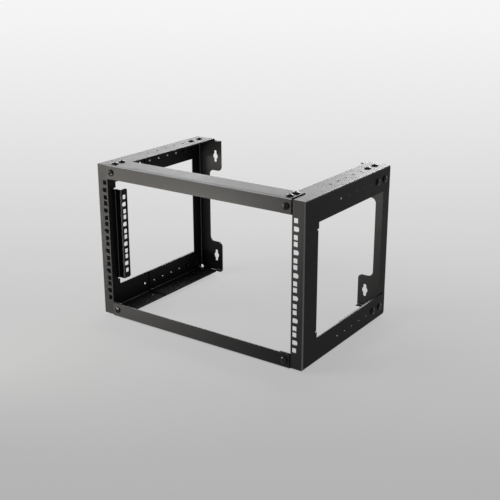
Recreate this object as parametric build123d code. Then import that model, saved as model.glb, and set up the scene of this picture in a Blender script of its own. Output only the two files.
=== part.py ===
from build123d import *
import os

# A wall-mount open frame rack, six rack units high, folded from black sheet steel.
# Two side panels carry the rows of square holes and are joined at the front by two
# crossbars. A wall bracket slides into the back of each side panel and is screwed to it
# through a row of holes, so the depth of the frame can be set in steps.
# The design frame has X across the front, Y from the front flange back to the wall and
# Z up from the underside of the side panels. The finished pieces are moved together so
# that the origin is at the bottom centre of the whole rack.

# Rack opening, from the standard for 19 inch equipment
rack_unit = 44.45
rack_units = 6
hole_column_spacing = 465.1
square_hole = 9.5
hole_heights_in_unit = (6.35, 22.225, 38.1)
hole_bulge = 2.7

# Sheet
sheet = 2.0
bend_radius = 3.0

# Side panel
frame_width = 504.0
panel_depth = 333.0
end_margin = 31.75
front_flange_width = 27.0
side_flange_width = 50.5
upright_depth = 50.0
arm_height = 50.0
corner_tab_height = 29.0
low_rear_corner_radius = 8.0
high_rear_corner_radius = 3.0

# Side rail, folded from the rear edge of the upright
rail_units = 4
rail_overhang = 11.0
rail_offset = 17.5
rail_depth = 19.5
rail_hole_setback = 9.0
rail_corner_radius = 4.0
relief_width = 3.0
relief_depth = 6.0

# Rows of adjusting holes along the arms, set out from the rear end of the panel
row_pitch = 30.0
row_rear_inset = 23.0
row_holes = 7
bracket_row_holes = 6
row_screws = 2
screw_hole = 5.5
side_row_height = 24.5
flange_row_inset = 24.5

# Wall bracket
wall_distance = 339.0
bracket_reach = 195.0
bracket_upright_depth = 30.0
wall_strip_width = 30.0
ear_reach = 67.0
ear_height = 73.0
ear_corner_radius = 10.0
ear_inner_radius = 12.0
ear_setback = 2.0
lip_depth = 9.5
lip_width = 15.0
corner_relief = 8.0
seam_gap = 1.0
keyhole_diameter = 13.6
keyhole_slot = 7.5
keyhole_length = 28.0
keyhole_spacing_across = 404.0
keyhole_spacing_up = 245.5

# Crossbar
crossbar_depth = 48.0
crossbar_face = 30.0
crossbar_end_gap = 1.3
crossbar_leg_screws = (14.0, 34.5)
crossbar_face_screw = 16.0
crossbar_screw_inset = 11.7

# Fasteners
shank_diameter = 4.8
shank_chamfer = 0.4
head_diameter = 14.0
head_height = 3.6
head_rim = 1.0
recess_length = 6.0
recess_width = 1.3
recess_depth = 1.8
nut_across_flats = 8.0
nut_height = 4.0
nut_hole = 5.0
thread_end = 2.0

# Worked out from the sizes above
half_width = frame_width / 2
panel_height = rack_units * rack_unit + 2 * end_margin
hole_column = hole_column_spacing / 2
flange_inner = half_width - side_flange_width
front_flange_inner = half_width - front_flange_width
window_low = arm_height
window_high = panel_height - arm_height
cut_margin = 5.0
same_place = 1e-3
bracket_front = wall_distance - bracket_reach
crossbar_half = front_flange_inner - crossbar_end_gap
crossbar_screw_place = crossbar_half - crossbar_screw_inset
rack_front = -sheet - head_height
rack_low = -sheet - head_height
rack_middle = (rack_front + wall_distance) / 2
row_places = [panel_depth - row_rear_inset - i * row_pitch for i in reversed(range(row_holes))]
bracket_row_places = row_places[row_holes - bracket_row_holes:]
screw_places = row_places[row_holes - row_screws:]
row_heights = (side_row_height, panel_height - side_row_height)
flange_row = half_width - flange_row_inset


def block(x, y, z):
    """A box between the two values given for each direction."""
    size = (x[1] - x[0], y[1] - y[0], z[1] - z[0])
    centre = ((x[0] + x[1]) / 2, (y[0] + y[1]) / 2, (z[0] + z[1]) / 2)
    return Pos(*centre) * Box(*size)


def rounded_block(x, bend_y, open_y, z, radius):
    """A box whose edges on its outer side are rounded, apart from the one at its open end."""
    body = block(x, sorted((bend_y, open_y)), z)
    outer = [e for e in body.edges() if abs(e.center().X - x[1]) < same_place]
    bends = [e for e in outer if abs(e.center().Y - open_y) > same_place]
    return fillet(bends, radius)


def folded_tray(x, bend_y, open_y, z):
    """Sheet folded at three edges of its outer side: end flange, top flange and bottom flange."""
    inward = 1 if open_y > bend_y else -1
    shell = rounded_block(x, bend_y, open_y, z, bend_radius)
    space = rounded_block(
        (x[0] - cut_margin, x[1] - sheet),
        bend_y + inward * sheet,
        open_y + inward * cut_margin,
        (z[0] + sheet, z[1] - sheet),
        bend_radius - sheet,
    )
    return shell - space


def square_hole_cut(bulged, depth):
    """A square hole, with a round bulge on its outer side where it is the middle one of a unit."""
    half = square_hole / 2
    corners = [(half, -half), (-half, -half), (-half, half), (half, half)]
    if bulged:
        closing = ThreePointArc((half, half), (half + hole_bulge, 0), (half, -half))
    else:
        closing = Line((half, half), (half, -half))
    outline = make_face(Polyline(*corners) + closing)
    return extrude(outline, amount=depth, both=True)


def unit_hole_heights(first_unit, units):
    """Height of each hole and whether it is the middle one of its unit."""
    heights = []
    for unit in range(first_unit, first_unit + units):
        for place, offset in enumerate(hole_heights_in_unit):
            heights.append((end_margin + unit * rack_unit + offset, place == 1))
    return heights


def round_cut(centre, direction, diameter, length):
    """A round hole through a point."""
    return Plane(origin=centre, z_dir=direction) * Cylinder(diameter / 2, length)


def row_cuts(places, low, high, x_outer):
    """The holes of the adjusting rows: two in the side plate and two in the flanges."""
    cuts = []
    for y in places:
        for z in row_heights:
            cuts.append(round_cut((x_outer, y, z), (1, 0, 0), screw_hole, 4 * sheet))
        for z in (low, high):
            cuts.append(round_cut((flange_row, y, z), (0, 0, 1), screw_hole, 4 * sheet))
    return cuts


def side_rail():
    """The rail folded inward and then back from the upright, with its square holes."""
    length = rail_units * rack_unit + 2 * rail_overhang
    low = (panel_height - length) / 2
    web_y = upright_depth - sheet
    path = FilletPolyline(
        (half_width - bend_radius, upright_depth - sheet / 2),
        (half_width - rail_offset + sheet / 2, upright_depth - sheet / 2),
        (half_width - rail_offset + sheet / 2, web_y + rail_depth),
        radius=bend_radius - sheet / 2,
    )
    rail = extrude(trace(path, line_width=sheet), amount=length)
    rail = Pos(0, 0, low) * rail
    free_edges = rail.edges().filter_by(Axis.X).group_by(Axis.Y)[-1]
    rail = fillet(free_edges, rail_corner_radius)
    first_unit = (rack_units - rail_units) // 2
    for z, bulged in unit_hole_heights(first_unit, rail_units):
        centre = (half_width - rail_offset, web_y + rail_depth - rail_hole_setback, z)
        plane = Plane(origin=centre, x_dir=(0, -1, 0), z_dir=(-1, 0, 0))
        rail -= plane * square_hole_cut(bulged, 2 * sheet)
    return rail, low, low + length


def upright_bend(low, high):
    """The rounded fold between the upright and the rail."""
    middle = (half_width - bend_radius, upright_depth - bend_radius)
    outer = Cylinder(bend_radius, high - low) - Cylinder(bend_radius - sheet, high - low)
    fold = Pos(*middle, (low + high) / 2) * outer
    quarter = block(
        (middle[0], half_width),
        (middle[1], upright_depth),
        (low, high),
    )
    return fold & quarter


def side_panel():
    """The right side panel."""
    panel = folded_tray((flange_inner, half_width), 0, panel_depth, (0, panel_height))
    window = block(
        (half_width - 2 * sheet, half_width + cut_margin),
        (upright_depth, panel_depth + cut_margin),
        (window_low, window_high),
    )
    narrowing = block(
        (flange_inner - cut_margin, front_flange_inner),
        (-cut_margin, 2 * sheet),
        (corner_tab_height, panel_height - corner_tab_height),
    )
    panel -= [window, narrowing, *seam_cuts()]
    rail, rail_low, rail_high = side_rail()
    fold_zone = block(
        (half_width - sheet, half_width),
        (upright_depth - bend_radius, upright_depth),
        (rail_low, rail_high),
    )
    panel -= fold_zone
    panel += upright_bend(rail_low, rail_high)
    panel += rail
    cuts = []
    for z in (rail_low - relief_width / 2, rail_high + relief_width / 2):
        slot = block(
            (half_width - rail_offset, half_width + cut_margin),
            (upright_depth - relief_depth + relief_width / 2, upright_depth + cut_margin),
            (z - relief_width / 2, z + relief_width / 2),
        )
        end = (half_width, upright_depth - relief_depth + relief_width / 2, z)
        cuts += [slot, round_cut(end, (1, 0, 0), relief_width, 2 * rail_offset)]
    for z, bulged in unit_hole_heights(0, rack_units):
        plane = Plane(origin=(hole_column, 0, z), x_dir=(1, 0, 0), z_dir=(0, -1, 0))
        cuts.append(plane * square_hole_cut(bulged, 2 * sheet))
    cuts += row_cuts(row_places, 0, panel_height, half_width)
    for z in (0, panel_height):
        for y in crossbar_leg_screws:
            centre = (crossbar_screw_place, y - sheet, z)
            cuts.append(round_cut(centre, (0, 0, 1), screw_hole, 4 * sheet))
    for z in (crossbar_face_screw - sheet, panel_height + sheet - crossbar_face_screw):
        centre = (crossbar_screw_place, 0, z)
        cuts.append(round_cut(centre, (0, 1, 0), screw_hole, 4 * sheet))
    return panel - cuts - rear_corner_cuts()


def seam_cuts():
    """The chamfer on the front seams of the panel, which clears the fold inside each crossbar."""
    size = bend_radius - sheet
    cuts = []
    for z, inward in ((0, 1), (panel_height, -1)):
        corner = make_face(Polyline((0, z), (size, z), (0, z + inward * size), close=True))
        prism = extrude(Plane.YZ * corner, amount=crossbar_half)
        cuts.append(prism)
    return cuts


def rear_corner_cuts():
    """What is cut off the lower and upper rear corners of a side plate."""
    cuts = []
    for z, inward, r in ((0, 1, low_rear_corner_radius), (panel_height, -1, high_rear_corner_radius)):
        corner = block(
            (half_width - bend_radius, half_width + cut_margin),
            (panel_depth - r, panel_depth + cut_margin),
            sorted((z - inward * cut_margin, z + inward * r)),
        )
        keep = round_cut((half_width, panel_depth - r, z + inward * r), (1, 0, 0), 2 * r, 4 * cut_margin)
        cuts.append(corner - keep)
    return cuts


def keyhole(x, z):
    """A hole for a wall screw: a round middle with a slot above and below."""
    outline = Circle(keyhole_diameter / 2) + SlotOverall(keyhole_length, keyhole_slot, rotation=90)
    plane = Plane(origin=(x, wall_distance, z), x_dir=(1, 0, 0), z_dir=(0, -1, 0))
    return plane * extrude(outline, amount=2 * sheet, both=True)


def wall_flange(outer, low, high):
    """The flange that lies on the wall, with an ear at its bottom and at its top."""
    inner = half_width - ear_reach
    strip_inner = half_width - sheet - wall_strip_width
    width = outer - inner
    face = Pos(inner + width / 2, (low + high) / 2) * Rectangle(width, high - low)
    gap = (low + ear_height, high - ear_height)
    notch = Pos((inner + strip_inner) / 2, (gap[0] + gap[1]) / 2)
    face -= notch * Rectangle(strip_inner - inner, gap[1] - gap[0])
    between = [v for v in face.vertices() if low + ear_corner_radius < v.Y < high - ear_corner_radius]
    ears = [v for v in between if abs(v.X - inner) < same_place]
    face = fillet(ears, ear_corner_radius)
    roots = [v for v in face.vertices() if abs(v.X - strip_inner) < same_place]
    face = fillet(roots, ear_inner_radius)
    plane = Plane(origin=(0, wall_distance, 0), x_dir=(1, 0, 0), z_dir=(0, -1, 0))
    return plane * extrude(face, amount=sheet)


def ear_lip(z, inward):
    """The lip folded forward along the outer end of an ear, up to the wall flange."""
    inner = half_width - ear_reach
    path = FilletPolyline(
        (wall_distance - lip_depth, z + inward * sheet / 2),
        (wall_distance - sheet / 2, z + inward * sheet / 2),
        (wall_distance - sheet / 2, z + inward * 2 * bend_radius),
        radius=bend_radius - sheet / 2,
    )
    profile = Plane.YZ * trace(path, line_width=sheet)
    return Pos(inner, 0, 0) * extrude(profile, amount=lip_width)


def wall_bracket():
    """The right wall bracket, which nests inside the right side panel."""
    outer = half_width - sheet
    low = sheet
    high = panel_height - sheet
    bracket = folded_tray((flange_inner, outer), wall_distance, bracket_front, (low, high))
    strip_inner = outer - wall_strip_width
    bracket -= block(
        (flange_inner - cut_margin, strip_inner),
        (wall_distance - sheet, wall_distance + cut_margin),
        (low - cut_margin, high + cut_margin),
    )
    bracket -= block(
        (outer - 2 * sheet, outer + cut_margin),
        (bracket_front - cut_margin, wall_distance - bracket_upright_depth),
        (window_low, window_high),
    )
    ear_low = low + ear_setback
    ear_high = high - ear_setback
    flange = wall_flange(outer - bend_radius, ear_low, ear_high)
    inner = half_width - ear_reach
    for z, inward in ((ear_low, 1), (ear_high, -1)):
        flange -= block(
            (inner - cut_margin, inner + lip_width),
            (wall_distance - 2 * sheet, wall_distance + cut_margin),
            sorted((z - inward * cut_margin, z + inward * 2 * bend_radius)),
        )
        flange += ear_lip(z, inward)
    bracket += flange
    cuts = row_cuts(bracket_row_places, low, high, outer)
    middle = panel_height / 2
    for z in (middle - keyhole_spacing_up / 2, middle + keyhole_spacing_up / 2):
        cuts.append(keyhole(keyhole_spacing_across / 2, z))
    for z, inward in ((low, 1), (high, -1)):
        centre = (outer - bend_radius, wall_distance, z + inward * bend_radius)
        cuts.append(round_cut(centre, (0, 1, 0), corner_relief, 4 * sheet))
        seam = block(
            (flange_inner - cut_margin, outer - bend_radius),
            (wall_distance - sheet - seam_gap, wall_distance - sheet),
            sorted((z - inward * cut_margin, z + inward * sheet)),
        )
        cuts.append(seam)
    return bracket - cuts


def crossbar():
    """The top crossbar, an angle that lies over the corners of both side panels."""
    top = panel_height + sheet
    path = FilletPolyline(
        (-sheet / 2, top - crossbar_face),
        (-sheet / 2, top - sheet / 2),
        (crossbar_depth - sheet, top - sheet / 2),
        radius=bend_radius - sheet / 2,
    )
    profile = Plane.YZ * trace(path, line_width=sheet)
    bar = Pos(-crossbar_half, 0, 0) * extrude(profile, amount=2 * crossbar_half)
    cuts = []
    for x in (-crossbar_screw_place, crossbar_screw_place):
        for y in crossbar_leg_screws:
            cuts.append(round_cut((x, y - sheet, top), (0, 0, 1), screw_hole, 4 * sheet))
        cuts.append(round_cut((x, 0, top - crossbar_face_screw), (0, 1, 0), screw_hole, 4 * sheet))
    return bar - cuts


def screw():
    """A truss head screw with a cross recess. Its head stands on Z = 0 and its shank hangs down."""
    rise = head_height - head_rim
    dome = ((head_diameter / 2) ** 2 + rise**2) / (2 * rise)
    blank = Pos(0, 0, head_height / 2) * Cylinder(head_diameter / 2, head_height)
    head = blank & Pos(0, 0, head_height - dome) * Sphere(dome)
    arms = Box(recess_length, recess_width, recess_depth) + Box(recess_width, recess_length, recess_depth)
    head -= Pos(0, 0, head_height - recess_depth / 2) * arms
    length = 2 * sheet + nut_height + thread_end
    shank = Pos(0, 0, -length / 2) * Cylinder(shank_diameter / 2, length)
    end = shank.edges().group_by(Axis.Z)[0]
    return head + chamfer(end, shank_chamfer)


def nut():
    """A hexagon nut, behind the two sheets."""
    body = extrude(RegularPolygon(nut_across_flats / 2, 6, major_radius=False), amount=-nut_height)
    body -= Cylinder(nut_hole / 2, 4 * nut_height)
    return Pos(0, 0, -2 * sheet) * body


def corner_seats():
    """Where the three screws of the upper right corner of the crossbar stand, as planes."""
    x = crossbar_screw_place
    top = panel_height + sheet
    seats = [Plane(origin=(x, y - sheet, top)) for y in crossbar_leg_screws]
    face = Plane(origin=(x, -sheet, top - crossbar_face_screw), z_dir=(0, -1, 0))
    return seats + [face]


def arm_seats():
    """Where the four screws of the upper right arm stand, as planes."""
    side = [
        Plane(origin=(half_width, y, panel_height - side_row_height), z_dir=(1, 0, 0))
        for y in screw_places
    ]
    top = [Plane(origin=(flange_row, y, panel_height)) for y in screw_places]
    return side + top


def placed(piece, seats):
    """Copies of one fastener on all the seats of a group."""
    return [seat * piece for seat in seats]


def handed(name, pieces):
    """The four corners of the rack made from the pieces of the upper right one."""
    level = Plane(origin=(0, 0, panel_height / 2))
    right_low = [mirror(p, about=level) for p in pieces]
    return {
        f"top_right_{name}": pieces,
        f"bottom_right_{name}": right_low,
        f"top_left_{name}": [mirror(p, about=Plane.YZ) for p in pieces],
        f"bottom_left_{name}": [mirror(p, about=Plane.YZ) for p in right_low],
    }


def write(name, pieces):
    """Move a node's solids to the rack's own origin and write them."""
    shift = Pos(0, -rack_middle, -rack_low)
    solids = [shift * solid for piece in pieces for solid in piece.solids()]
    node = solids[0] if len(solids) == 1 else Compound(children=solids)
    export_step(node, f"parts/{name}.step")


os.makedirs("parts", exist_ok=True)

right_panel = side_panel()
right_bracket = wall_bracket()
top_bar = crossbar()
nodes = {
    "right_side_panel": [right_panel],
    "left_side_panel": [mirror(right_panel, about=Plane.YZ)],
    "right_wall_bracket": [right_bracket],
    "left_wall_bracket": [mirror(right_bracket, about=Plane.YZ)],
    "top_crossbar": [top_bar],
    "bottom_crossbar": [mirror(top_bar, about=Plane(origin=(0, 0, panel_height / 2)))],
}
for fastener, piece in (("screws", screw()), ("nuts", nut())):
    nodes.update(handed(f"corner_{fastener}", placed(piece, corner_seats())))
    nodes.update(handed(f"arm_{fastener}", placed(piece, arm_seats())))
for node_name, node_pieces in nodes.items():
    write(node_name, node_pieces)
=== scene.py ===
import math

import bmesh
import bpy
from mathutils import Matrix, Vector


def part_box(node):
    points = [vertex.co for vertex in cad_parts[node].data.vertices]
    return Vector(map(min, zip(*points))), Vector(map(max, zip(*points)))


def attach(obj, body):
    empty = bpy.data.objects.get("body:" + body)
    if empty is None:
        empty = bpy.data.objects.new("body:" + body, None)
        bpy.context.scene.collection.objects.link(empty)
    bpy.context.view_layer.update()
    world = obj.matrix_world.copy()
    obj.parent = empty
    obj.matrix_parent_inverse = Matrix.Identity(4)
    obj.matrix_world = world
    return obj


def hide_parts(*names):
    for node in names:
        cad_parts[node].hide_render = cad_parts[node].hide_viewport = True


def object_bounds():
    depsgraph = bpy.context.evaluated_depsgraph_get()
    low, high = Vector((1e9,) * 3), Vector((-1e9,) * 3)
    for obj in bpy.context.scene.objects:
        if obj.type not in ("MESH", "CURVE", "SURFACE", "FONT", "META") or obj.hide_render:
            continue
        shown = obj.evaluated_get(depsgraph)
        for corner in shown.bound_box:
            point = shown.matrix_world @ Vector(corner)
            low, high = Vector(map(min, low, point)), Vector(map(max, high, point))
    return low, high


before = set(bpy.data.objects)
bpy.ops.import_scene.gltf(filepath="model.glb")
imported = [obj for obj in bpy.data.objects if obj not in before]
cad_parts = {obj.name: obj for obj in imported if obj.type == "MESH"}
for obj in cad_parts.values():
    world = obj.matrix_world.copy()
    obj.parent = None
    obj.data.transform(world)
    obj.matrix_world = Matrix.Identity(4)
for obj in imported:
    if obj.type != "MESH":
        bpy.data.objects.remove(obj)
cad_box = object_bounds()


# The two side panels are folded from 2 mm sheet steel, with the rack's square holes punched in
# their front flanges and in a second rail. All the sheet parts are powder coated in one batch:
# a satin black whose fine peel shows up close and which lies thinner and shinier over the folds.

coat_black = (0.0055, 0.0055, 0.0058, 1)
coat_worn = (0.030, 0.029, 0.028, 1)
coat_dust = (0.16, 0.15, 0.14, 1)
bend_sheen = (0.15, 0.15, 0.155, 1)
coat_roughness = 0.46
coat_rough_spread = 0.10
cloud_size = 0.09
smear_size = 0.03
smear_stretch = (1.0, 0.35, 2.2)
dust_size = 0.018
dust_strength = 0.07
rub_size = 0.006
rub_strength = 0.6
peel_size = 0.0014
peel_depth = 0.000035
grain_size = 0.00035
flattened_on_top = 0.8
fold_width = 0.0035
film_on_top = 0.35
film_everywhere = 0.04
film_roughness = 0.42

# Where the walls of punched holes are: how far below a piece's top, and how far in from its sides
# and its front.
punched_below = 0.0021
punched_from_side = 0.0035
punched_from_front = 0.0065
punched_step = 0.0005


class Wire:
    """One socket in a material's node tree. Arithmetic on wires and numbers adds Math nodes."""

    def __init__(self, tree, socket=None):
        self.tree = tree
        self.socket = socket

    def node(self, kind, settings, sockets, output=0):
        """Add any node: its settings are set first, then the values or links of its sockets."""
        made = self.tree.nodes.new(kind)
        for name, value in settings.items():
            if name == "stops":
                ends = made.color_ramp.elements
                while len(ends) < len(value):
                    ends.new(0.5)
                for end, (place, colour) in zip(ends, value):
                    end.position = place
                    end.color = colour
            else:
                setattr(made, name, value)
        for name, value in sockets.items():
            if isinstance(value, Wire):
                self.tree.links.new(value.socket, made.inputs[name])
            else:
                made.inputs[name].default_value = value
        return Wire(self.tree, made.outputs[output] if made.outputs else None)

    def math(self, operation, first, second=0.0, clamp=False):
        """Add a Math node for two wires or numbers."""
        settings = {"operation": operation, "use_clamp": clamp}
        return self.node("ShaderNodeMath", settings, {0: first, 1: second})

    def __add__(self, other):
        return self.math("ADD", self, other)

    def __sub__(self, other):
        return self.math("SUBTRACT", self, other)

    def __mul__(self, other):
        return self.math("MULTIPLY", self, other)

    def __truediv__(self, other):
        return self.math("DIVIDE", self, other)

    def __rsub__(self, other):
        return self.math("SUBTRACT", other, self)

    def __rtruediv__(self, other):
        return self.math("DIVIDE", other, self)

    __radd__ = __add__

    def higher(self, other):
        """The higher of two values."""
        return self.math("MAXIMUM", self, other)

    def size(self):
        """This value without its sign."""
        return self.math("ABSOLUTE", self)

    def clamped(self):
        """This value kept between 0 and 1."""
        return self.math("ADD", self, 0.0, clamp=True)

    def along(self, axis):
        """The part of this vector along X, Y or Z, numbered from 0."""
        return self.node("ShaderNodeSeparateXYZ", {}, {0: self}, output=axis)

    def tint(self, colour_off, colour_on):
        """A colour that goes from one to the other as this mask goes from 0 to 1."""
        settings = {"data_type": "RGBA", "clamp_factor": True}
        return self.node("ShaderNodeMix", settings, {0: self, 6: colour_off, 7: colour_on}, output=2)

    def noise(self, place, cell, detail=2.0, roughness=0.5):
        """Soft noise from 0 to 1, with blobs of about the given size in metres."""
        sockets = {"Vector": place, "Scale": 1 / cell, "Detail": detail, "Roughness": roughness}
        return self.node("ShaderNodeTexNoise", {}, sockets)

    def ramp(self, low, high):
        """This value stretched so that low becomes 0 and high becomes 1, without going past them."""
        return ((self - low) / (high - low)).clamped()


def new_material(name):
    """An empty material, and a wire to build its nodes from."""
    material = bpy.data.materials.new(name)
    material.use_nodes = True
    material.node_tree.nodes.clear()
    return material, Wire(material.node_tree)


def finish_surface(start, colour, roughness, height, bump, more):
    """Close a material: one shader, one bump node and the output."""
    bumped = start.node("ShaderNodeBump", {}, {"Height": height, "Distance": bump, "Strength": 1.0})
    sockets = {"Base Color": colour, "Roughness": roughness, "Normal": bumped, **more}
    shader = start.node("ShaderNodeBsdfPrincipled", {}, sockets)
    start.node("ShaderNodeOutputMaterial", {}, {"Surface": shader})


def edge_mask(place, box, width):
    """1 along the outer edges and folds of a piece, fading to 0 at the given width from them."""
    low, high = box
    nearness = []
    for axis in range(3):
        middle = (low[axis] + high[axis]) / 2
        half = (high[axis] - low[axis]) / 2
        depth = half - (place.along(axis) - middle).size()
        nearness.append((1 - depth / width).clamped())
    x, y, z = nearness
    return (x * y).higher(y * z).higher(z * x)


def step_up(value, place):
    """0 below a place and 1 above it, with a narrow soft step between."""
    return value.ramp(place - punched_step, place + punched_step)


def punched_mask(place, box, upward):
    """1 on the walls of the holes punched in a top flange, where hardly any powder gets in."""
    low, high = box
    right_of_side = step_up(place.along(0), low[0] + punched_from_side)
    left_of_side = 1 - step_up(place.along(0), high[0] - punched_from_side)
    behind = step_up(place.along(1), low[1] + punched_from_front)
    top_sheet = high[2] - punched_below
    near_top = place.along(2).ramp(top_sheet - 0.0001, top_sheet)
    return right_of_side * left_of_side * behind * near_top * (1 - upward.size().ramp(0.2, 0.5))


def facing(start, axis):
    """How far a face looks along an axis, from -1 to 1."""
    return start.node("ShaderNodeNewGeometry", {}, {}, output=3).along(axis)


def powder_coat(name, box, turn, axis, reach, front):
    """The black powder coat of one folded piece. The turn moves the pattern, so no two are alike.
    Along the axis, from one end of the reach to the other, the film on the front faces changes
    from the first thickness in front to the second."""
    material, start = new_material(name)
    place = start.node("ShaderNodeTexCoord", {}, {}, output=3)
    move = (turn, 2 * turn, 3 * turn)
    shifted = start.node("ShaderNodeVectorMath", {"operation": "ADD"}, {0: place, 1: move})
    stretched = start.node("ShaderNodeMapping", {}, {"Vector": shifted, "Scale": smear_stretch})
    cloud = start.noise(shifted, cloud_size, 3.0)
    smears = start.noise(stretched, smear_size, 4.0, 0.6)
    peel = start.noise(shifted, peel_size, 1.0)
    grain = start.noise(shifted, grain_size, 0.0)
    upward = facing(start, 2)
    on_top = upward.ramp(0.5, 0.9)

    folds = edge_mask(place, box, fold_width)
    rubbed = folds * start.noise(shifted, rub_size, 3.0, 0.7).ramp(0.40, 0.75)
    dust = upward.ramp(0.7, 1.0) * start.noise(shifted, dust_size, 5.0, 0.65).ramp(0.42, 0.80)
    flatness = facing(start, 0).size().higher(facing(start, 1).size()).higher(upward.size())
    bends = (1 - flatness).ramp(0.004, 0.06)
    colour = (rubbed * rub_strength).tint(coat_black, coat_worn)
    colour = (dust * dust_strength).tint(colour, coat_dust)
    colour = bends.tint(colour, bend_sheen)

    roughness = coat_roughness + (cloud - 0.5) * coat_rough_spread + (smears - 0.5) * coat_rough_spread
    roughness = roughness + grain * 0.03 - folds * 0.08 + dust * 0.08
    height = (peel * 0.75 + grain * 0.25) * (1 - on_top * flattened_on_top)

    forward = (0.0 - facing(start, 1)).ramp(0.5, 0.9)
    film = front[0] + place.along(axis).ramp(*reach) * (front[1] - front[0])
    film = (forward * film).higher(on_top * film_on_top) + film_everywhere
    film = film * (1 - punched_mask(place, box, upward))
    more = {
        "Metallic": bends,
        "Specular IOR Level": 0.08,
        "Coat Weight": film,
        "Coat Roughness": film_roughness,
        "Coat IOR": 1.5,
    }
    finish_surface(start, colour, roughness, height, peel_depth, more)
    return material


def dress(node, coat):
    """Give every material slot of a CAD node the same finish."""
    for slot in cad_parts[node].material_slots:
        slot.material = coat


coat = powder_coat("left_panel_coat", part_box("left_side_panel"), 0.0, 2, (0.0, 0.1), (0.75, 0.52))
dress("left_side_panel", coat)
coat = powder_coat("right_panel_coat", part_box("right_side_panel"), 1.7, 2, (0.0, 0.3), (0.28, 0.66))
dress("right_side_panel", coat)


# A wall bracket sits face to face inside the back of each side panel. It is a folded tray of the
# same 2 mm sheet, with two keyholed ears that hang on the wall screws.

coat = powder_coat("left_bracket_coat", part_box("left_wall_bracket"), 5.3, 2, (0.22, 0.30), (0.0, 0.6))
dress("left_wall_bracket", coat)
coat = powder_coat("right_bracket_coat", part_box("right_wall_bracket"), 7.0, 2, (0.0, 0.3), (0.6, 0.7))
dress("right_wall_bracket", coat)


# Two crossbars join the panels at the front. Each is a folded angle that lies over the corners
# of both panels and is screwed to them three times at each end.

coat = powder_coat("top_bar_coat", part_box("top_crossbar"), 9.1, 0, (-0.2, 0.2), (0.62, 0.66))
dress("top_crossbar", coat)
coat = powder_coat("bottom_bar_coat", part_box("bottom_crossbar"), 10.8, 0, (-0.22, 0.22), (1.0, 0.1))
dress("bottom_crossbar", coat)


# The truss head screws are blackened steel with a cross recess. Their wide low domes stand on the
# paint, and the threaded shanks go through both sheets into the nuts.

recess_span = 0.0060
recess_arm = 0.0013
recess_depth = 0.0018
recess_taper = 0.55
recess_floor_share = 0.4
head_rim = 0.0018
head_steps = 48
shank_radius = 0.0024
shank_start = 0.0001
thread_pitch = 0.0008
thread_depth = 0.00035
thread_steps = 24
rows_per_pitch = 8
tip_length = 0.0006
tip_narrowing = 0.0004
first_turn = 0.37
turn_step = 1.1
tool_mark_depth = 0.00002
steel_black = (0.020, 0.020, 0.022, 1)
steel_bare = (0.16, 0.155, 0.15, 1)
steel_roughness = 0.22


def black_steel(name, cell, bare):
    """Blackened steel: dark metal, a fine tooled grain and a little bare metal where a tool touched."""
    material, start = new_material(name)
    place = start.node("ShaderNodeTexCoord", {}, {}, output=3)
    patches = start.noise(place, cell * 6, 4.0, 0.6)
    grain = start.noise(place, cell, 3.0, 0.6)
    worn = (patches * 0.5 + grain * 0.5).ramp(0.50, 0.72)
    colour = (worn * bare).tint(steel_black, steel_bare)
    roughness = steel_roughness + (patches - 0.5) * 0.1 + grain * 0.04
    finish_surface(start, colour, roughness, grain, tool_mark_depth, {"Metallic": 0.85})
    return material


def seats(node):
    """The points of each fastener in a CAD node, one list for each of its separate solids."""
    mesh = bmesh.new()
    mesh.from_mesh(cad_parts[node].data)
    bmesh.ops.remove_doubles(mesh, verts=mesh.verts, dist=1e-6)
    mesh.verts.ensure_lookup_table()
    unseen = set(range(len(mesh.verts)))
    found = []
    while unseen:
        group = []
        edge = [unseen.pop()]
        while edge:
            vertex = mesh.verts[edge.pop()]
            group.append(vertex.co.copy())
            for link in vertex.link_edges:
                index = link.other_vert(vertex).index
                if index in unseen:
                    unseen.discard(index)
                    edge.append(index)
        found.append(group)
    mesh.free()
    return found


def span(points):
    """Lowest and highest corner of some points."""
    low = Vector(min(p[i] for p in points) for i in range(3))
    high = Vector(max(p[i] for p in points) for i in range(3))
    return low, high


def mesh_object(name, mesh, material, smooth_under=math.radians(35)):
    """A shown object from finished mesh data, shaded smooth except over its sharp edges."""
    data = bpy.data.meshes.new(name)
    mesh.normal_update()
    for face in mesh.faces:
        face.smooth = True
    for edge in mesh.edges:
        edge.smooth = len(edge.link_faces) != 2 or edge.calc_face_angle(0) < smooth_under
    mesh.to_mesh(data)
    mesh.free()
    piece = bpy.data.objects.new(name, data)
    bpy.context.scene.collection.objects.link(piece)
    data.materials.append(material)
    return piece


def ring_of(mesh, radius, z, steps):
    """New vertices round a circle about Z."""
    turns = [2 * math.pi * k / steps for k in range(steps)]
    return [mesh.verts.new((radius * math.cos(t), radius * math.sin(t), z)) for t in turns]


def turned(profile, steps):
    """A closed solid of revolution about Z. Its (radius, height) points start and end on the axis."""
    mesh = bmesh.new()
    rings = []
    for radius, height in profile:
        if radius == 0:
            rings.append([mesh.verts.new((0, 0, height))])
        else:
            rings.append(ring_of(mesh, radius, height, steps))
    for below, above in zip(rings, rings[1:]):
        for k in range(steps):
            near = (k + 1) % steps
            if len(below) == 1:
                mesh.faces.new((below[0], above[near], above[k]))
            elif len(above) == 1:
                mesh.faces.new((below[k], below[near], above[0]))
            else:
                mesh.faces.new((below[k], below[near], above[near], above[k]))
    bmesh.ops.recalc_face_normals(mesh, faces=mesh.faces)
    return mesh


def arc(centre, radius, start, end, steps):
    """Points on an arc in the profile plane, angles in degrees from the radius axis."""
    angles = [math.radians(start + (end - start) * k / steps) for k in range(steps + 1)]
    return [(centre[0] + radius * math.cos(a), centre[1] + radius * math.sin(a)) for a in angles]


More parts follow.
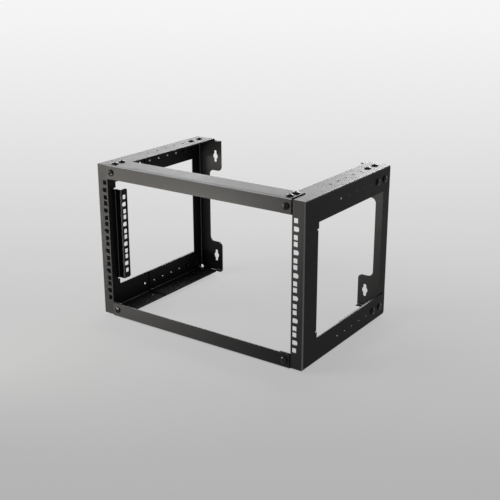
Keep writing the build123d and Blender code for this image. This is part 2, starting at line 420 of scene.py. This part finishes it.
def cut(mesh, tool, operation="DIFFERENCE"):
    """One closed mesh cut with another by an exact boolean."""
    data = []
    for part in (mesh, tool):
        made = bpy.data.meshes.new("blank")
        part.to_mesh(made)
        part.free()
        blank = bpy.data.objects.new("blank", made)
        bpy.context.scene.collection.objects.link(blank)
        data.append(blank)
    body, cutter = data
    modifier = body.modifiers.new("cut", "BOOLEAN")
    modifier.operation = operation
    modifier.solver = "EXACT"
    modifier.object = cutter
    shaped = body.evaluated_get(bpy.context.evaluated_depsgraph_get())
    result = bmesh.new()
    result.from_mesh(shaped.to_mesh())
    for blank in data:
        bpy.data.objects.remove(blank)
    bmesh.ops.remove_doubles(result, verts=result.verts, dist=1e-7)
    return result


def recess_tool(top):
    """The tapered cross that a driver fits in, as one closed outline that narrows downwards."""
    tool = bmesh.new()
    rings = []
    for reach, half, z in (
        (recess_span / 2 * recess_taper, recess_arm * recess_floor_share, top - recess_depth),
        (recess_span / 2, recess_arm / 2, top + 0.0002),
    ):
        ring = []
        for quarter in range(4):
            turn = Matrix.Rotation(quarter * math.pi / 2, 3, "Z")
            for x, y in ((half, -reach), (half, -half), (reach, -half)):
                ring.append(tool.verts.new(turn @ Vector((x, y, z))))
        rings.append(ring)
    count = len(rings[0])
    tool.faces.new(reversed(rings[0]))
    tool.faces.new(rings[1])
    for k in range(count):
        near = (k + 1) % count
        tool.faces.new((rings[0][k], rings[0][near], rings[1][near], rings[1][k]))
    return tool


def screw_head(radius, height):
    """A truss head: a thin rim that rounds over into a dome like a ball's cap, cut with the recess."""
    rise = height - head_rim
    ball = (radius**2 + rise**2) / (2 * rise)
    reach = math.degrees(math.asin(radius / ball))
    profile = [(0, 0), (radius * 0.985, 0), (radius, head_rim * 0.15), (radius, head_rim * 0.8)]
    profile += arc((0, height - ball), ball, 90 - reach * 0.96, 90, 12)
    profile[-1] = (0, height)
    return cut(turned(profile, head_steps), recess_tool(height))


def threaded_rod(radius, low, high):
    """A shank with a rolled thread: the radius follows a ridge that climbs one pitch each turn."""
    mesh = bmesh.new()
    rows = round((high - low) / (thread_pitch / rows_per_pitch))
    rings = []
    for row in range(rows + 1):
        z = low + (high - low) * row / rows
        fade = min(1, (z - low) / tip_length)
        ring = []
        for k in range(thread_steps):
            phase = (z / thread_pitch - k / thread_steps) % 1
            ridge = abs(2 * phase - 1)
            r = radius - thread_depth * (1 - ridge) - tip_narrowing * (1 - fade)
            angle = 2 * math.pi * k / thread_steps
            ring.append(mesh.verts.new((r * math.cos(angle), r * math.sin(angle), z)))
        rings.append(ring)
    for below, above in zip(rings, rings[1:]):
        for k in range(thread_steps):
            near = (k + 1) % thread_steps
            mesh.faces.new((below[k], below[near], above[near], above[k]))
    mesh.faces.new(reversed(rings[0]))
    mesh.faces.new(rings[-1])
    return mesh


def placed(name, shape, groups, material):
    """Copies of one shape joined to one object. Each group is an origin, a direction and a turn."""
    whole = bmesh.new()
    for origin, direction, turn in groups:
        copy = shape.copy()
        move = Matrix.Translation(origin) @ direction.to_track_quat("Z", "Y").to_matrix().to_4x4()
        bmesh.ops.transform(copy, matrix=move @ Matrix.Rotation(turn, 4, "Z"), verts=copy.verts)
        data = bpy.data.meshes.new("copy")
        copy.to_mesh(data)
        copy.free()
        whole.from_mesh(data)
        bpy.data.meshes.remove(data)
    return mesh_object(name, whole, material)


def joined(first, second):
    """Two shapes in one mesh, each still its own closed shell."""
    data = bpy.data.meshes.new("part")
    second.to_mesh(data)
    second.free()
    first.from_mesh(data)
    bpy.data.meshes.remove(data)
    return first


def screw_seats(node):
    """Underside of each head, the way it looks, its radius and height, and the shank's length."""
    found = []
    for points in seats(node):
        low, high = span(points)
        size = high - low
        # Across a round screw both sizes are the same, so its axis is the one that is left.
        axis = min(range(3), key=lambda i: abs(size[i - 1] - size[i - 2]))
        middle = (low + high) / 2
        radius = size[axis - 1] / 2
        wide = [p for p in points if abs(p[axis - 1] - middle[axis - 1]) > 0.8 * radius]
        head_low, head_high = span(wide)
        outward = 1 if abs(head_high[axis] - high[axis]) < abs(head_low[axis] - low[axis]) else -1
        seat = head_low[axis] if outward > 0 else head_high[axis]
        tip = low[axis] if outward > 0 else high[axis]
        top = high[axis] if outward > 0 else low[axis]
        origin = middle.copy()
        origin[axis] = seat
        direction = Vector((0, 0, 0))
        direction[axis] = outward
        found.append((origin, direction, radius, abs(top - seat), abs(seat - tip)))
    return found


rack_corners = ("top_left", "top_right", "bottom_left", "bottom_right")
sets = [f"{corner}_{place}" for corner in rack_corners for place in ("corner", "arm")]
screw_metal = black_steel("black_screw_steel", 0.0006, 0.2)
screw_number = 0
for fastener_set in sets:
    node = f"{fastener_set}_screws"
    found = screw_seats(node)
    radius, height, reach = found[0][2:]
    shape = joined(screw_head(radius, height), threaded_rod(shank_radius, -reach, -shank_start))
    groups = []
    for origin, direction, *_ in found:
        groups.append((origin, direction, first_turn + turn_step * screw_number))
        screw_number += 1
    piece = placed(f"{fastener_set}_truss_head_screws", shape, groups, screw_metal)
    shape.free()
    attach(piece, "root")
    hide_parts(node)


# Hexagon nuts close the screws inside the panels. Their corners are chamfered on both faces,
# which leaves the curved lines that turned nuts have.

nut_bore = 0.0025
nut_chamfer = math.radians(28)
nut_flat_share = 0.98
nut_steps = 48
bore_sink = 0.0004
bore_steps = 32
overshoot = 0.001


def nut_seats(node):
    """Lower face and direction of each nut in a CAD node, its two radii and its thickness."""
    found = []
    for points in seats(node):
        low, high = span(points)
        size = high - low
        axis = min(range(3), key=lambda i: size[i])
        middle = (low + high) / 2
        direction = Vector((0, 0, 0))
        direction[axis] = 1 if middle[axis] > (cad_box[0][axis] + cad_box[1][axis]) / 2 else -1
        origin = middle - direction * size[axis] / 2
        others = [size[i] for i in range(3) if i != axis]
        found.append((origin, direction, max(others) / 2, min(others) / 2, size[axis]))
    return found


def nut_shape(to_corner, to_flat, thickness):
    """A hexagon prism with its corners turned off on both faces, and a countersunk bore."""
    prism = bmesh.new()
    rings = [ring_of(prism, to_corner, z, 6) for z in (0, thickness)]
    prism.faces.new(reversed(rings[0]))
    prism.faces.new(rings[1])
    for k in range(6):
        near = (k + 1) % 6
        prism.faces.new((rings[0][k], rings[0][near], rings[1][near], rings[1][k]))
    round_face = to_flat * nut_flat_share
    drop = (to_corner - round_face) * math.tan(nut_chamfer)
    far = to_corner * 1.02
    low = drop + (far - to_corner) * math.tan(nut_chamfer)
    blank = [
        (0, 0),
        (round_face, 0),
        (far, low),
        (far, thickness - low),
        (round_face, thickness),
        (0, thickness),
    ]
    wide = nut_bore + bore_sink + overshoot
    bore = [
        (0, -overshoot),
        (wide, -overshoot),
        (nut_bore, bore_sink),
        (nut_bore, thickness - bore_sink),
        (wide, thickness + overshoot),
        (0, thickness + overshoot),
    ]
    body = cut(prism, turned(blank, nut_steps), "INTERSECT")
    return cut(body, turned(bore, bore_steps))


nut_metal = black_steel("black_nut_steel", 0.0007, 0.3)
for fastener_set in sets:
    node = f"{fastener_set}_nuts"
    found = nut_seats(node)
    shape = nut_shape(*found[0][2:])
    groups = [(origin, direction, 0) for origin, direction, *_ in found]
    piece = placed(f"{fastener_set}_hexagon_nuts", shape, groups, nut_metal)
    shape.free()
    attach(piece, "root")
    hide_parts(node)


# The studio floor is one wide sheet of pale paper. Most of what the camera and reflections see of
# it is a painted glow, lighter towards the back, so it stays even under the lamps; the rest is lit
# paper and takes the rack's shadow.

floor_reach = 40.0
# Share of the floor, as the camera and reflections see it, that is painted glow rather than lit paper.
painted_glow_share = 0.8
paper_diffuse = (0.55, 0.55, 0.55, 1)
fibre_size = 0.004
shadow_reach = 0.35
shadow_end = 0.65
back_heading = math.radians(35.0)
front_reach = 1.82
# Tones of the painted glow: darker near the front, lighter towards the back.
painted_glow_tones = (
    (0.090, 0.913),
    (0.163, 0.862),
    (0.249, 0.797),
    (0.368, 0.703),
    (0.523, 0.596),
    (0.694, 0.508),
    (0.780, 0.471),
    (0.870, 0.450),
)

floor_mesh = bmesh.new()
bmesh.ops.create_circle(floor_mesh, cap_ends=True, segments=64, radius=floor_reach)
paper, start = new_material("paper_with_painted_glow")
place = start.node("ShaderNodeTexCoord", {}, {}, output=3)
ahead = (-math.sin(back_heading), math.cos(back_heading), 0)
dot = {"operation": "DOT_PRODUCT"}
distance = start.node("ShaderNodeVectorMath", dot, {0: place, 1: ahead}, output=1)
nearness = 1 / (distance + front_reach).higher(1.0)
stops = [(near, (tone, tone, tone, 1)) for near, tone in painted_glow_tones]
tone = start.node("ShaderNodeValToRGB", {"stops": stops}, {0: nearness})
fibres = start.noise(place, fibre_size, 3.0)
matt = start.node(
    "ShaderNodeBsdfPrincipled",
    {},
    {"Base Color": paper_diffuse, "Roughness": 0.9 + fibres * 0.1, "Specular IOR Level": 0.1},
)
# The painted glow: an emission that stands in for the studio light on the floor.
own = start.node("ShaderNodeEmission", {}, {"Color": tone})
camera_ray, glossy_ray, transmission_ray = 0, 3, 6
seen = start.node("ShaderNodeLightPath", {}, {}, output=camera_ray)
for ray in (glossy_ray, transmission_ray):
    seen = seen.higher(start.node("ShaderNodeLightPath", {}, {}, output=ray))
away = start.node("ShaderNodeVectorMath", {"operation": "LENGTH"}, {0: place}, output=1)
away = away.ramp(shadow_reach, shadow_end)
share = seen * (painted_glow_share + away * (1 - painted_glow_share))
mixed = start.node("ShaderNodeMixShader", {}, {0: share, 1: matt, 2: own})
start.node("ShaderNodeOutputMaterial", {}, {"Surface": mixed})
floor = mesh_object("studio_floor", floor_mesh, paper)


# Soft light comes from all round, as in a white studio, brightest near the horizon. Lamps behind
# light the top faces, and low lamps at the front left give the front its gradient.

horizon_light = (0.72, 0.72, 0.72, 1)
ceiling_light = (0.22, 0.22, 0.22, 1)

world = bpy.data.worlds.new("studio_room")
bpy.context.scene.world = world
world.use_nodes = True
world.node_tree.nodes.clear()
room = Wire(world.node_tree)
direction = room.node("ShaderNodeTexCoord", {}, {}, output=0)
glow = direction.along(2).ramp(0.02, 0.5).tint(horizon_light, ceiling_light)
light = room.node("ShaderNodeBackground", {}, {"Color": glow, "Strength": 1.0})
room.node("ShaderNodeOutputWorld", {}, {"Surface": light})


def softbox(name, place, aim, width, height, brightness, colour=(1, 1, 1)):
    """A rectangular soft lamp that looks at a point and isn't seen itself."""
    lamp = bpy.data.lights.new(name, "AREA")
    lamp.shape = "RECTANGLE"
    lamp.size = width
    lamp.size_y = height
    lamp.energy = brightness * math.pi * width * height
    lamp.color = colour
    holder = bpy.data.objects.new(name, lamp)
    holder.location = place
    holder.rotation_mode = "QUATERNION"
    holder.rotation_quaternion = (Vector(aim) - Vector(place)).to_track_quat("-Z", "Y")
    holder.visible_camera = False
    bpy.context.scene.collection.objects.link(holder)


softbox("back_softbox", (-1.3, 2.3, 1.25), (0, 0, 0.3), 1.4, 0.7, 5.2)
softbox("back_middle_softbox", (-0.3, 2.6, 1.25), (0, 0, 0.3), 1.4, 0.7, 12.3)
softbox("back_left_softbox", (-2.2, 1.6, 1.25), (0, 0, 0.3), 1.4, 0.7, 5.3)
softbox("left_floor_strip", (-0.35, -0.60, 0.06), (-0.1, -0.17, 0.05), 0.3, 0.1, 17.8, (1, 0.96, 0.90))
softbox("high_left_softbox", (-1.1, -1.15, 1.6), (0, -0.17, 0.3), 1.0, 0.8, 9.0)
softbox("front_softbox", (-1.10, -0.90, 0.20), (-0.1, -0.17, 0.15), 0.5, 0.35, 9.9, (1, 0.93, 0.84))


# The camera stands where the photograph was taken from: right of the rack, in front and above.
# The shift puts the lens's centre where it is in the photograph, a little off the middle.

camera_place = (1.0347, -1.4532, 0.7680)
camera_heading = math.radians(34.286)
camera_down = math.radians(17.909)
camera_roll = math.radians(0.121)
image_width = 500
focal_pixels = 890.5
centre_column = 260.91
centre_row = 230.93
sensor_width = 36

lens = bpy.data.cameras.new("camera")
lens.sensor_width = sensor_width
lens.lens = focal_pixels / image_width * sensor_width
lens.shift_x = (image_width / 2 - centre_column) / image_width
lens.shift_y = (centre_row - image_width / 2) / image_width
lens.clip_start = 0.05
lens.clip_end = 200
camera = bpy.data.objects.new("camera", lens)
turn = Matrix.Rotation(camera_heading, 4, "Z") @ Matrix.Rotation(math.pi / 2 - camera_down, 4, "X")
camera.matrix_world = Matrix.Translation(camera_place) @ turn @ Matrix.Rotation(camera_roll, 4, "Z")
bpy.context.scene.collection.objects.link(camera)
bpy.context.scene.camera = camera
bpy.context.scene.view_settings.view_transform = "Standard"
